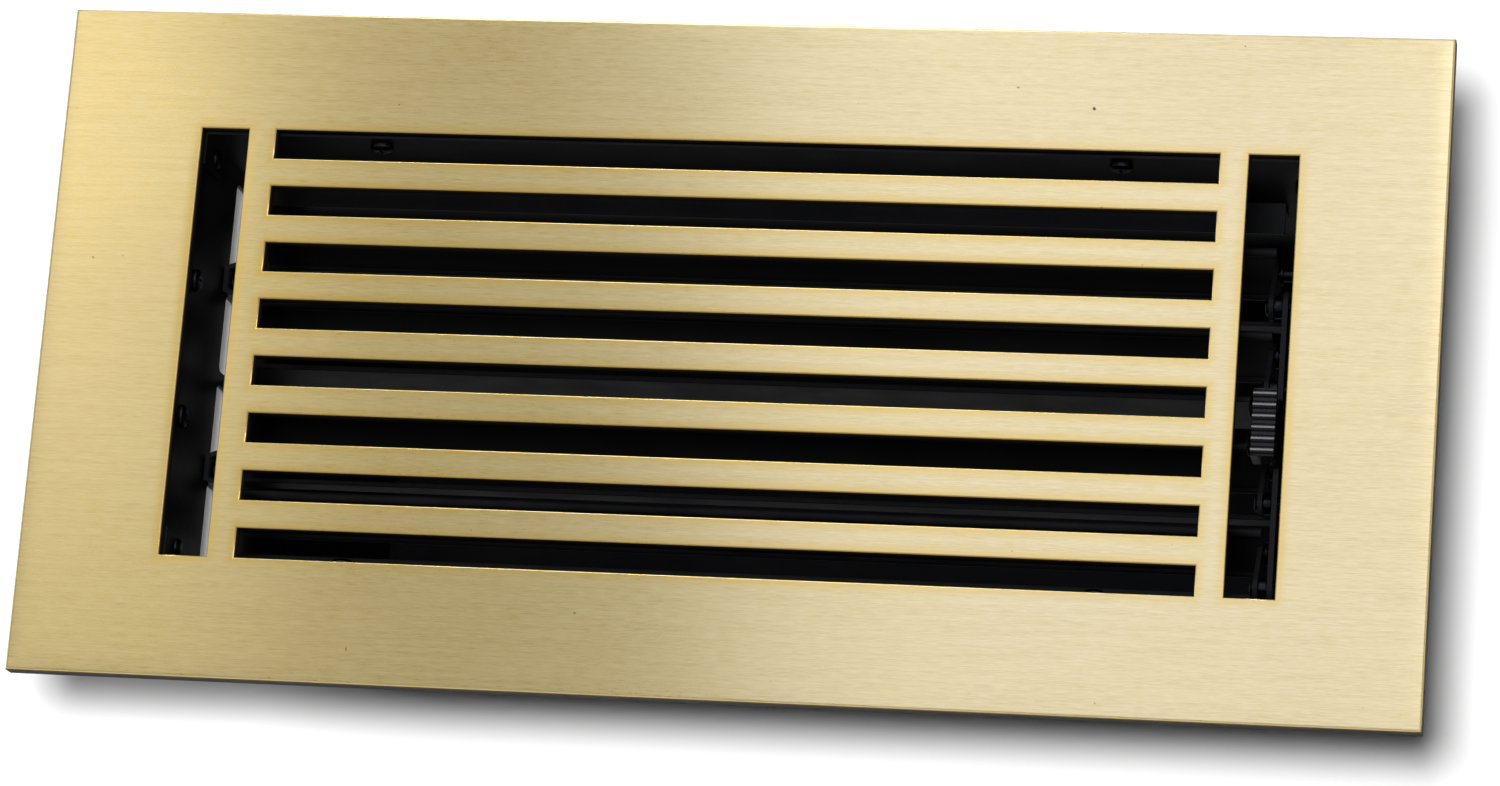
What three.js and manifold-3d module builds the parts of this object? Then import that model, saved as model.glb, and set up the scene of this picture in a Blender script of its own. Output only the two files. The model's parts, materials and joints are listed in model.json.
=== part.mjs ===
// A drop-in floor register: a solid slotted faceplate over a black sheet-steel damper box, whose four
// parallel blades are coupled by a link bar and worked by a ribbed thumb tab in the right end slot.
//
// +X runs along the plate towards the thumb tab, +Y across it and +Z up. The origin is the centre of the
// plate on the floor plane, which the underside of its rim rests on. Lengths are in millimetres. The
// damper is modelled open.

import * as THREE from "three";
import { mergeVertices } from "three/addons/utils/BufferGeometryUtils.js";
import Module from "manifold-3d";

const wasm = await Module();
wasm.setup();

// ---------------------------------------------------------------- driving dimensions

const GAP = 0.3; // left between pieces that touch
const SHEET = 1; // thickness of the box's steel

const PLATE = { length: 298, width: 146, thickness: 4.8, edgeRound: 0.6, corner: 1, rim: 12, recess: 1.5 };
const SLOT = { count: 8, length: 203, width: 6.5, pitch: 12.5 };
const END_SLOT = { centre: 112.75, width: 10.5, length: 94 };
const LUG = { width: 10, thickness: 2.6, bottom: -7.5, hole: 1.55 };
const SCREW = { alongSide: 80, alongEnd: 15, height: -3.5, shank: 1.25, head: 2.5, headHeight: 1.4 };

const BOX = { halfLength: 119, halfWidth: 46.5, top: PLATE.recess - GAP, bottom: -42 };
const CORNER_TAB = { reach: 6.5, height: 13.5, rivetInset: 3.3 };
const WINDOW = { bottom: -38, top: -29.1, round: 1.5, inner: [1.5, 18.5], outer: [23.9, 44] };

const BLADE = { pitch: 18.2, innerOffset: 12.1, halfLength: 112, chord: 19.5, thickness: 0.8, hem: 1 };
const PIVOT = { height: -29.2, openTilt: 73, earRadius: 3.2, earThickness: 1 };
const PIN = { tenon: 1.2, journal: 1.5, collar: 2.4, hole: 1.5 };
const BUSH = { bore: 1.6, body: 2.5, flange: 3.6, flangeThickness: 0.8, overhang: 0.6, hole: 2.8 };
const CRANK = { radius: 12, angle: 67, earRadius: 3, headRadius: 1.9 };

const LINK = { inner: 114, thickness: 1.2, halfHeight: 3.5, hole: 1.6 };
const TAB = { inner: 110.5, outer: 115.5, length: 14.4, centreY: -8.3, top: -1.5, bottom: -10.5, ribs: 6 };
const RIVET = { shank: 1.2, head: 2.2, headHeight: 0.9, hole: 1.5 };

const RAIL = { inner: -114.5, bottom: -34.2, top: -24.7, halfLength: 36 };
const RAIL_FOOT = { centre: 21.2, half: 2.5, ramp: 1.2 };
const STIFFENER = { offset: 21.2, top: -36 };
const DIVIDER = { thickness: 1.2, top: -17.2, notchTop: -34.6, notchLeft: -113.2, notchRight: 108.5 };
const KEY_TAB = { bottom: -40.8, top: -39.2, reach: 1.8 };
const SPRING = { thickness: 0.4, bottom: -24, top: -19, rivetY: -43 };

const ROUND_SIDES = 16;
const SMALL_SIDES = 12;
const BLADE_Y = [
  BLADE.innerOffset + BLADE.pitch,
  BLADE.innerOffset,
  -BLADE.innerOffset,
  -BLADE.innerOffset - BLADE.pitch,
];

const openTilt = THREE.MathUtils.degToRad(PIVOT.openTilt);
const crankAngle = THREE.MathUtils.degToRad(CRANK.angle);
const crankAcross = CRANK.radius * Math.cos(openTilt + crankAngle);
const crankUp = CRANK.radius * Math.sin(openTilt + crankAngle);
const endWallInner = BOX.halfLength;
const longWallOuter = BOX.halfWidth + SHEET;

// ---------------------------------------------------------------- materials

const brass = new THREE.MeshStandardMaterial({ color: 0xcdb67c, roughness: 0.38, metalness: 1 });
const blackSteel = new THREE.MeshStandardMaterial({ color: 0x15161a, roughness: 0.45, metalness: 0.2 });
const blackZinc = new THREE.MeshStandardMaterial({ color: 0x2c2d31, roughness: 0.35, metalness: 1 });
const springSteel = new THREE.MeshStandardMaterial({ color: 0x55575c, roughness: 0.3, metalness: 1 });
const blackPlastic = new THREE.MeshStandardMaterial({ color: 0x101114, roughness: 0.35, metalness: 0 });
const bushPlastic = new THREE.MeshStandardMaterial({ color: 0x2a2b2d, roughness: 0.6, metalness: 0 });

// ---------------------------------------------------------------- solids

function toSolid(geometry) {
  const bare = geometry.clone();
  bare.deleteAttribute("normal");
  bare.deleteAttribute("uv");
  const merged = mergeVertices(bare, 1e-4);
  const mesh = new wasm.Mesh({
    numProp: 3,
    vertProperties: new Float32Array(merged.attributes.position.array),
    triVerts: new Uint32Array(merged.index.array),
  });
  return new wasm.Manifold(mesh);
}

function toGeometry(solid) {
  const mesh = solid.getMesh();
  const indexed = new THREE.BufferGeometry();
  indexed.setAttribute("position", new THREE.BufferAttribute(new Float32Array(mesh.vertProperties), 3));
  indexed.setIndex(new THREE.BufferAttribute(new Uint32Array(mesh.triVerts), 1));
  const geometry = indexed.toNonIndexed();
  geometry.computeVertexNormals();
  return geometry;
}

// Joins the geometries in `added` and cuts those in `removed` out of the result.
function combine(added, removed = []) {
  let solid = toSolid(added[0]);
  for (const geometry of added.slice(1)) solid = solid.add(toSolid(geometry));
  for (const geometry of removed) solid = solid.subtract(toSolid(geometry));
  return toGeometry(solid);
}

function block(x, y, z) {
  const geometry = new THREE.BoxGeometry(x[1] - x[0], y[1] - y[0], z[1] - z[0]);
  return geometry.translate((x[0] + x[1]) / 2, (y[0] + y[1]) / 2, (z[0] + z[1]) / 2);
}

// A cylinder along X.
function rodX(radius, x, y, z, sides = SMALL_SIDES) {
  const geometry = new THREE.CylinderGeometry(radius, radius, x[1] - x[0], sides);
  return geometry.rotateZ(-Math.PI / 2).translate((x[0] + x[1]) / 2, y, z);
}

// A cylinder along Y.
function rodY(radius, x, y, z, sides = SMALL_SIDES) {
  const geometry = new THREE.CylinderGeometry(radius, radius, y[1] - y[0], sides);
  return geometry.translate(x, (y[0] + y[1]) / 2, z);
}

// A turned piece along +X, from its [radius, distance] profile.
function turned(profile, sides) {
  const points = profile.map(([radius, along]) => new THREE.Vector2(radius, along));
  return new THREE.LatheGeometry(points, sides).rotateZ(-Math.PI / 2);
}

// A shape drawn across (Y) and up (Z), extruded along X.
function extrudeX(shape, x, curveSegments = 6) {
  const depth = x[1] - x[0];
  const geometry = new THREE.ExtrudeGeometry(shape, { depth, bevelEnabled: false, curveSegments });
  const axes = [new THREE.Vector3(0, 1, 0), new THREE.Vector3(0, 0, 1), new THREE.Vector3(1, 0, 0)];
  geometry.applyMatrix4(new THREE.Matrix4().makeBasis(...axes));
  return geometry.translate(x[0], 0, 0);
}

// A shape drawn in the XY plane, extruded along Z.
function extrudeZ(shape, z) {
  const depth = z[1] - z[0];
  const geometry = new THREE.ExtrudeGeometry(shape, { depth, bevelEnabled: false });
  return geometry.translate(0, 0, z[0]);
}

// ---------------------------------------------------------------- outlines

function rectangle(x, y) {
  const shape = new THREE.Shape();
  shape.moveTo(x[0], y[0]);
  shape.lineTo(x[1], y[0]);
  shape.lineTo(x[1], y[1]);
  shape.lineTo(x[0], y[1]);
  shape.closePath();
  return shape;
}

function roundedRectangle(x, y, radius) {
  const shape = new THREE.Shape();
  shape.absarc(x[1] - radius, y[0] + radius, radius, -Math.PI / 2, 0);
  shape.absarc(x[1] - radius, y[1] - radius, radius, 0, Math.PI / 2);
  shape.absarc(x[0] + radius, y[1] - radius, radius, Math.PI / 2, Math.PI);
  shape.absarc(x[0] + radius, y[0] + radius, radius, Math.PI, 1.5 * Math.PI);
  shape.closePath();
  return shape;
}

// A bar with round ends between the origin and the point at `length` along `angle`.
function stadium(length, angle, radius) {
  const shape = new THREE.Shape();
  const quarter = Math.PI / 2;
  shape.absarc(0, 0, radius, angle + quarter, angle + 3 * quarter);
  shape.absarc(length * Math.cos(angle), length * Math.sin(angle), radius, angle - quarter, angle + quarter);
  shape.closePath();
  return shape;
}

// The outline of a sheet of the given thickness bent along a line of points.
function bentSheet(line, thickness) {
  const points = line.map(([x, y]) => new THREE.Vector2(x, y));
  const normals = points.slice(1).map((point, i) => {
    const along = point.clone().sub(points[i]).normalize();
    return new THREE.Vector2(-along.y, along.x);
  });
  const offset = (side) =>
    points.map((point, i) => {
      const before = normals[Math.max(i - 1, 0)];
      const after = normals[Math.min(i, normals.length - 1)];
      const mitre = before.clone().add(after);
      const scale = (side * thickness) / 2 / mitre.dot(before);
      return point.clone().addScaledVector(mitre, scale);
    });
  return new THREE.Shape([...offset(-1), ...offset(1).reverse()]);
}

// ---------------------------------------------------------------- the register's group

const register = new THREE.Group();

function addMesh(parent, name, geometry, material, position = [0, 0, 0]) {
  const mesh = new THREE.Mesh(geometry, material);
  mesh.name = name;
  mesh.position.set(...position);
  parent.add(mesh);
  return mesh;
}

// ---------------------------------------------------------------- faceplate

function plateBlank() {
  const { length, width, thickness, edgeRound, corner } = PLATE;
  const x = length / 2 - edgeRound;
  const y = width / 2 - edgeRound;
  const blank = new THREE.ExtrudeGeometry(roundedRectangle([-x, x], [-y, y], corner), {
    depth: thickness,
    bevelThickness: edgeRound,
    bevelSize: edgeRound,
    bevelSegments: 2,
    curveSegments: 3,
  });
  return blank.translate(0, 0, -edgeRound);
}

function slotCutters() {
  const z = [-1, PLATE.thickness + 1];
  const cutters = [];
  for (let i = 0; i < SLOT.count; i++) {
    const y = (i - (SLOT.count - 1) / 2) * SLOT.pitch;
    cutters.push(block([-SLOT.length / 2, SLOT.length / 2], [y - SLOT.width / 2, y + SLOT.width / 2], z));
  }
  for (const side of [-1, 1]) {
    const x = side * END_SLOT.centre;
    const halfLength = END_SLOT.length / 2;
    cutters.push(block([x - END_SLOT.width / 2, x + END_SLOT.width / 2], [-halfLength, halfLength], z));
  }
  return cutters;
}

// The span from `start` outwards, on the positive or the negative side.
function mirroredSpan(side, start, length) {
  return side > 0 ? [start, start + length] : [-start - length, -start];
}

function faceplate() {
  const top = PLATE.thickness;
  const halfRecess = [PLATE.length / 2 - PLATE.rim, PLATE.width / 2 - PLATE.rim];
  const lugs = [];
  const holes = [];
  for (const side of [-1, 1]) {
    const sideLug = mirroredSpan(side, longWallOuter + GAP, LUG.thickness);
    const endLug = mirroredSpan(side, endWallInner + SHEET + GAP, LUG.thickness);
    for (const end of [-1, 1]) {
      const x = end * SCREW.alongSide;
      const y = end * SCREW.alongEnd;
      const z = [LUG.bottom, top - 1];
      lugs.push(block([x - LUG.width / 2, x + LUG.width / 2], sideLug, z));
      lugs.push(block(endLug, [y - LUG.width / 2, y + LUG.width / 2], z));
      holes.push(rodY(LUG.hole, x, [sideLug[0] - 1, sideLug[1] + 1], SCREW.height));
      holes.push(rodX(LUG.hole, [endLug[0] - 1, endLug[1] + 1], y, SCREW.height));
    }
  }
  const belowFloor = block([-PLATE.length, PLATE.length], [-PLATE.width, PLATE.width], [-20, 0]);
  const recess = block([-halfRecess[0], halfRecess[0]], [-halfRecess[1], halfRecess[1]], [-1, PLATE.recess]);
  const web = combine([plateBlank()], [belowFloor, recess, ...slotCutters()]);
  return combine([web, ...lugs], holes);
}

addMesh(register, "faceplate", faceplate(), brass);

// ---------------------------------------------------------------- damper box

const cornerRivet = { y: BOX.halfWidth - CORNER_TAB.rivetInset, z: BOX.top - CORNER_TAB.height / 2 - 1 };

// A long wall for the +Y side, with a riveted tab bent in at each end.
function longWall() {
  const end = BOX.halfLength - GAP;
  const outer = longWallOuter;
  const wall = block([-end, end], [BOX.halfWidth, outer], [BOX.bottom, BOX.top]);
  const tabs = [];
  const holes = [];
  for (const side of [-1, 1]) {
    const x = mirroredSpan(side, end - SHEET, SHEET);
    tabs.push(block(x, [BOX.halfWidth - CORNER_TAB.reach, outer], [BOX.top - CORNER_TAB.height, BOX.top]));
    holes.push(rodX(RIVET.hole, [x[0] - 1, x[1] + 1], cornerRivet.y, cornerRivet.z));
    holes.push(rodY(RIVET.hole, side * SCREW.alongSide, [BOX.halfWidth - 1, outer + 1], SCREW.height));
  }
  return combine([wall, ...tabs], holes);
}

// A round hole through an end wall, at a place across and up it.
function endHole(radius, y, z, sides = SMALL_SIDES) {
  return rodX(radius, [-1, SHEET + 1], y, z, sides);
}

// An end wall, its inner face at x = 0, with the holes that both have and its own.
function endWall(ownHoles) {
  const holes = [...ownHoles];
  for (const side of [-1, 1]) {
    holes.push(endHole(RIVET.hole, side * SCREW.alongEnd, SCREW.height));
    holes.push(endHole(RIVET.hole, side * cornerRivet.y, cornerRivet.z));
  }
  for (const y of [-STIFFENER.offset, 0, STIFFENER.offset]) {
    const half = DIVIDER.thickness / 2 + GAP;
    holes.push(block([-1, SHEET + 1], [y - half, y + half], [KEY_TAB.bottom - GAP, KEY_TAB.top + GAP]));
  }
  return combine([block([0, SHEET], [-longWallOuter, longWallOuter], [BOX.bottom, BOX.top])], holes);
}

// Four windows low in the left end wall, with a web between each pair.
function windows() {
  const z = [WINDOW.bottom, WINDOW.top];
  const spans = [WINDOW.inner, WINDOW.outer];
  const mirrored = spans.map(([near, far]) => [-far, -near]);
  const through = [-1, SHEET + 1];
  return [...spans, ...mirrored].map((y) => extrudeX(roundedRectangle(y, z, WINDOW.round), through, 4));
}

const railRivetHoles = [-1, 1].map((side) => endHole(RIVET.hole, side * RAIL_FOOT.centre, PIVOT.height));
const bushHoles = BLADE_Y.map((y) => endHole(BUSH.hole, y, PIVOT.height, ROUND_SIDES));
const springRivetHeight = (SPRING.bottom + SPRING.top) / 2;
const springHole = endHole(RIVET.hole, SPRING.rivetY, springRivetHeight);

addMesh(register, "rear_wall", longWall(), blackSteel);
addMesh(register, "front_wall", longWall(), blackSteel).rotation.z = Math.PI;
addMesh(register, "left_end_wall", endWall([...windows(), ...railRivetHoles]), blackSteel, [
  -endWallInner - SHEET,
  0,
  0,
]);
addMesh(register, "right_end_wall", endWall([...bushHoles, springHole]), blackSteel, [endWallInner, 0, 0]);

// ---------------------------------------------------------------- strips inside the box

const stripEnd = BOX.halfLength - GAP;

// A strip on edge along X with the given outline, whose ends key into both end walls.
function keyedStrip(outline, thickness) {
  const across = [-thickness / 2, thickness / 2];
  const strip = extrudeZ(outline, across).rotateX(Math.PI / 2);
  const keyEnd = stripEnd + KEY_TAB.reach;
  const key = block([-keyEnd, keyEnd], across, [KEY_TAB.bottom, KEY_TAB.top]);
  return combine([strip, key]);
}

// The centre divider's outline, with its top stepped down near each end.
function dividerOutline() {
  const { top, notchTop, notchLeft, notchRight } = DIVIDER;
  const shape = new THREE.Shape();
  shape.moveTo(-stripEnd, BOX.bottom);
  shape.lineTo(stripEnd, BOX.bottom);
  shape.lineTo(stripEnd, notchTop);
  shape.lineTo(notchRight, notchTop);
  shape.lineTo(notchRight, top);
  shape.lineTo(notchLeft, top);
  shape.lineTo(notchLeft, notchTop);
  shape.lineTo(-stripEnd, notchTop);
  shape.closePath();
  return shape;
}

addMesh(register, "centre_divider", keyedStrip(dividerOutline(), DIVIDER.thickness), blackSteel);

for (const [name, side] of [
  ["rear", 1],
  ["front", -1],
]) {
  const outline = rectangle([-stripEnd, stripEnd], [BOX.bottom, STIFFENER.top]);
  const position = [0, side * STIFFENER.offset, 0];
  addMesh(register, `${name}_stiffener`, keyedStrip(outline, SHEET), blackSteel, position);
}

// The angle that an outer blade closes against, drawn for the +Y wall about the blades' pivot height.
function stopAngle() {
  const outer = BOX.halfWidth - GAP;
  const outerBladeEdge = BLADE_Y[0] + BLADE.chord / 2;
  const ledge = [outerBladeEdge - 0.65, outer];
  const top = -GAP + 0.05;
  const leg = 7;
  const shape = new THREE.Shape();
  shape.moveTo(outer, top);
  shape.lineTo(ledge[0], top);
  shape.lineTo(ledge[0], top - SHEET);
  shape.lineTo(outer - SHEET, top - SHEET);
  shape.lineTo(outer - SHEET, top - leg);
  shape.lineTo(outer, top - leg);
  shape.closePath();
  return extrudeX(shape, [-BLADE.halfLength - 0.5, BLADE.halfLength + 0.5]);
}

addMesh(register, "rear_stop_angle", stopAngle(), blackSteel, [0, 0, PIVOT.height]);
addMesh(register, "front_stop_angle", stopAngle(), blackSteel, [0, 0, PIVOT.height]).rotation.x = Math.PI;

// The bracket that carries the blades' left bushes, with two feet bent out to the left end wall.
function pivotRail() {
  const middle = RAIL.inner - SHEET / 2;
  const footX = -endWallInner + GAP + SHEET / 2;
  const { centre, half, ramp } = RAIL_FOOT;
  const rearHalf = [
    [middle, centre - half - ramp],
    [footX, centre - half],
    [footX, centre + half],
    [middle, centre + half + ramp],
    [middle, RAIL.halfLength],
  ];
  const frontHalf = rearHalf.map(([x, y]) => [x, -y]).reverse();
  const line = [...frontHalf, ...rearHalf];
  const holes = BLADE_Y.map((y) => rodX(BUSH.hole, [middle - 2, middle + 2], y, PIVOT.height, ROUND_SIDES));
  for (const side of [-1, 1]) {
    holes.push(rodX(RIVET.hole, [footX - 1, footX + 1], side * centre, PIVOT.height));
  }
  return combine([extrudeZ(bentSheet(line, SHEET), [RAIL.bottom, RAIL.top])], holes);
}

addMesh(register, "left_pivot_rail", pivotRail(), blackSteel);

// The leaf spring that rubs on the link bar's outer face, bent along a line of [x, y] points.
function frictionSpring() {
  const wall = endWallInner - GAP - SPRING.thickness / 2;
  const flat = 116.85;
  const nib = 115.8;
  const nibY = -24.15;
  const line = [
    [wall, SPRING.rivetY - 2.5],
    [wall, SPRING.rivetY + 2.7],
    [wall - 0.25, -38.6],
    [117.65, -36],
    [117.05, -33.5],
    [flat, -31],
    [flat, nibY - 1.2],
    [nib, nibY],
    [flat, nibY + 1.2],
    [flat, -20],
    [flat + 0.45, -18.9],
  ];
  const strip = extrudeZ(bentSheet(line, SPRING.thickness), [SPRING.bottom, SPRING.top]);
  return combine([strip], [rodX(RIVET.hole, [wall - 1, wall + 1], SPRING.rivetY, springRivetHeight)]);
}

addMesh(register, "friction_spring", frictionSpring(), springSteel);

// ---------------------------------------------------------------- rivets and screws

// A rivet along +X that clamps a stack from x = 0 to x = grip.
function rivet(grip) {
  const { shank, head, headHeight } = RIVET;
  const profile = [
    [0, -GAP - headHeight],
    [head * 0.6, -GAP - headHeight * 0.8],
    [head, -GAP],
    [shank, -GAP],
    [shank, grip + GAP],
    [head, grip + GAP],
    [head * 0.6, grip + GAP + headHeight * 0.8],
    [0, grip + GAP + headHeight],
  ];
  return turned(profile, SMALL_SIDES);
}

const cornerStack = 2 * SHEET + GAP;
for (const [end, side] of [
  ["left", -1],
  ["right", 1],
]) {
  for (const [wall, across] of [
    ["front", -1],
    ["rear", 1],
  ]) {
    const x = side > 0 ? endWallInner - GAP - SHEET : -endWallInner - SHEET;
    const position = [x, across * cornerRivet.y, cornerRivet.z];
    addMesh(register, `${wall}_${end}_corner_rivet`, rivet(cornerStack), blackZinc, position);
  }
}
for (const [wall, across] of [
  ["front", -1],
  ["rear", 1],
]) {
  const position = [-endWallInner - SHEET, across * RAIL_FOOT.centre, PIVOT.height];
  addMesh(register, `${wall}_rail_rivet`, rivet(cornerStack), blackZinc, position);
}
const springStack = SPRING.thickness + GAP + SHEET;
addMesh(register, "spring_rivet", rivet(springStack), blackZinc, [
  endWallInner - GAP - SPRING.thickness,
  SPRING.rivetY,
  springRivetHeight,
]);

// A pan-head screw along +X, its head's underside at x = 0.
function screw() {
  const { shank, head, headHeight } = SCREW;
  const length = SHEET + 2 * GAP + LUG.thickness;
  const profile = [
    [0, -headHeight],
    [head * 0.55, -headHeight * 0.9],
    [head * 0.9, -headHeight * 0.5],
    [head, 0],
    [shank, 0],
    [shank, length - 0.5],
    [shank - 0.4, length],
    [0, length],
  ];
  return turned(profile, SMALL_SIDES);
}

for (const [name, side] of [
  ["left", -1],
  ["right", 1],
]) {
  for (const [wall, across] of [
    ["front", -1],
    ["rear", 1],
  ]) {
    const endPosition = [side * (endWallInner - GAP), across * SCREW.alongEnd, SCREW.height];
    const sidePosition = [side * SCREW.alongSide, across * (BOX.halfWidth - GAP), SCREW.height];
    const endScrew = addMesh(register, `${name}_end_${wall}_screw`, screw(), blackZinc, endPosition);
    endScrew.rotation.z = side > 0 ? 0 : Math.PI;
    const sideScrew = addMesh(register, `${wall}_side_${name}_screw`, screw(), blackZinc, sidePosition);
    sideScrew.rotation.z = (across * Math.PI) / 2;
  }
}

// ---------------------------------------------------------------- bushes

// A flanged bush along +X: its flange stands GAP clear of a sheet that starts at x = 0.
function bush() {
  const { bore, body, flange, flangeThickness, overhang } = BUSH;
  const end = SHEET + overhang;
  const profile = [
    [bore, -GAP - flangeThickness],
    [flange, -GAP - flangeThickness],
    [flange, -GAP],
    [body, -GAP],
    [body, end],
    [bore, end],
    [bore, -GAP - flangeThickness],
  ];
  return turned(profile, ROUND_SIDES);
}

BLADE_Y.forEach((y, i) => {
  const name = `blade_${i + 1}`;
  addMesh(register, `${name}_right_bush`, bush(), bushPlastic, [endWallInner, y, PIVOT.height]);
  const left = addMesh(register, `${name}_left_bush`, bush(), bushPlastic, [RAIL.inner, y, PIVOT.height]);
  left.rotation.z = Math.PI;
});

// ---------------------------------------------------------------- blades

// The blade's section: a flat sheet along its chord with a round hem on each long edge.
function bladeSection() {
  const { chord, thickness, hem } = BLADE;
  const centre = chord / 2 - hem;
  const open = Math.asin(thickness / 2 / hem);
  const shape = new THREE.Shape();
  shape.absarc(centre, 0, hem, -Math.PI + open, Math.PI - open);
  shape.absarc(-centre, 0, hem, open, 2 * Math.PI - open);
  shape.closePath();
  return shape;
}

// A blade lying flat about its pivot: chord along +Y, crank arm on its right-hand ear.
function blade() {
  const end = BLADE.halfLength;
  const inner = end - PIVOT.earThickness;
  const leftEar = rodX(PIVOT.earRadius, [-end, -inner], 0, 0, ROUND_SIDES);
  const rightEar = extrudeX(stadium(CRANK.radius, crankAngle, CRANK.earRadius), [inner, end]);
  const across = CRANK.radius * Math.cos(crankAngle);
  const up = CRANK.radius * Math.sin(crankAngle);
  const holes = [
    rodX(PIN.hole, [-end - 1, -inner + 0.1], 0, 0),
    rodX(PIN.hole, [inner - 0.1, end + 1], 0, 0),
    rodX(PIN.hole, [inner - 1, end + 1], across, up),
  ];
  return combine([extrudeX(bladeSection(), [-end, end]), leftEar, rightEar], holes);
}

// A pivot pin along +X from an ear's outer face at x = 0, with its journal ending at `reach`.
function pivotPin(reach) {
  const profile = [
    [0, -PIVOT.earThickness + 0.1],
    [PIN.tenon, -PIVOT.earThickness + 0.1],
    [PIN.tenon, GAP],
    [PIN.collar, GAP],
    [PIN.collar, 3 * GAP],
    [PIN.journal, 3 * GAP],
    [PIN.journal, reach - 0.4],
    [PIN.journal - 0.4, reach],
    [0, reach],
  ];
  return turned(profile, ROUND_SIDES);
}

// A shouldered rivet along +X from the crank ear's outer face at x = 0, through the link bar.
function crankPin() {
  const linkInner = LINK.inner - BLADE.halfLength;
  const linkOuter = linkInner + LINK.thickness;
  const inside = -PIVOT.earThickness - GAP;
  const profile = [
    [0, inside - 0.6],
    [CRANK.headRadius, inside - 0.5],
    [CRANK.headRadius, inside],
    [PIN.tenon, inside],
    [PIN.tenon, GAP],
    [PIN.collar, GAP],
    [PIN.collar, linkInner - GAP],
    [PIN.journal, linkInner - GAP],
    [PIN.journal, linkOuter + GAP],
    [CRANK.headRadius, linkOuter + GAP],
    [CRANK.headRadius - 0.3, linkOuter + GAP + 0.5],
    [0, linkOuter + GAP + 0.5],
  ];
  return turned(profile, ROUND_SIDES);
}

const railReach = BLADE.halfLength + RAIL.inner;
const leftReach = -railReach + SHEET + 1.3;
const rightReach = endWallInner - BLADE.halfLength + SHEET + 1.2;

BLADE_Y.forEach((y, i) => {
  const group = new THREE.Group();
  group.position.set(0, y, PIVOT.height);
  group.rotation.x = openTilt;
  register.add(group);
  const name = `blade_${i + 1}`;
  addMesh(group, name, blade(), blackSteel);
  addMesh(group, `${name}_right_pin`, pivotPin(rightReach), blackZinc, [BLADE.halfLength, 0, 0]);
  const left = addMesh(group, `${name}_left_pin`, pivotPin(leftReach), blackZinc, [-BLADE.halfLength, 0, 0]);
  left.rotation.z = Math.PI;
  const crankPosition = [
    BLADE.halfLength,
    CRANK.radius * Math.cos(crankAngle),
    CRANK.radius * Math.sin(crankAngle),
  ];
  addMesh(group, `${name}_crank_pin`, crankPin(), blackZinc, crankPosition);
});

// ---------------------------------------------------------------- link bar and thumb tab

const linkY = BLADE_Y[0] + crankAcross;
const linkZ = PIVOT.height + crankUp;
const tongue = { halfWidth: TAB.length / 2 - 1, top: TAB.top - 2 };
const tabRivets = [-4, 4].map((offset) => ({ y: TAB.centreY + offset, z: TAB.bottom + 3 }));

// The link bar about its first crank pin, with the tongue that the thumb tab is riveted to.
function linkBar() {
  const length = BLADE_Y[0] - BLADE_Y[3];
  const x = [LINK.inner, LINK.inner + LINK.thickness];
  const bar = extrudeX(stadium(length, Math.PI, LINK.halfHeight), x);
  const y = [TAB.centreY - tongue.halfWidth - linkY, TAB.centreY + tongue.halfWidth - linkY];
  const upright = block(x, y, [0, tongue.top - linkZ]);
  const through = [x[0] - 1, x[1] + 1];
  const holes = BLADE_Y.map((bladeY) => rodX(LINK.hole, through, bladeY - BLADE_Y[0], 0, ROUND_SIDES));
  for (const { y: rivetY, z } of tabRivets) {
    holes.push(rodX(RIVET.hole, through, rivetY - linkY, z - linkZ));
  }
  return combine([bar, upright], holes);
}

// The thumb tab about its own middle in Y: a block beside the tongue and a ribbed cap over it.
function thumbTab() {
  const half = TAB.length / 2;
  const side = [TAB.inner, LINK.inner - GAP];
  const body = block(side, [-half, half], [TAB.bottom, TAB.top - 0.8]);
  const cap = block([TAB.inner, TAB.outer], [-half, half], [tongue.top + GAP, TAB.top - 0.8]);
  const ribPitch = TAB.length / TAB.ribs;
  const ribs = [];
  for (let i = 0; i < TAB.ribs; i++) {
    const y = (i - (TAB.ribs - 1) / 2) * ribPitch;
    const rib = new THREE.Shape();
    rib.absarc(y, TAB.top - 0.8, 0.8, 0, Math.PI);
    rib.closePath();
    const keyed = extrudeX(rib, [TAB.inner, TAB.outer], 6);
    ribs.push(keyed, block([TAB.inner, TAB.outer], [y - 0.8, y + 0.8], [TAB.top - 1.2, TAB.top - 0.8]));
  }
  const through = [TAB.inner - 1, TAB.outer + 1];
  const holes = tabRivets.map(({ y, z }) => rodX(RIVET.hole, through, y - TAB.centreY, z));
  return combine([body, cap, ...ribs], holes);
}

addMesh(register, "link_bar", linkBar(), blackSteel, [0, linkY, linkZ]);
addMesh(register, "thumb_tab", thumbTab(), blackPlastic, [0, TAB.centreY, 0]);
const tabStack = LINK.inner + LINK.thickness - TAB.inner;
tabRivets.forEach(({ y, z }, i) => {
  addMesh(register, `thumb_tab_rivet_${i + 1}`, rivet(tabStack), blackZinc, [TAB.inner, y, z]);
});

export default register;
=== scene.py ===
"""The looks of the drop-in floor register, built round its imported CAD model.

Lengths are in metres, in the CAD model's frame: +X along the plate towards the thumb tab, +Z up.
"""

import json
import math

import bmesh
import bpy
from mathutils import Matrix, Vector


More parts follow.
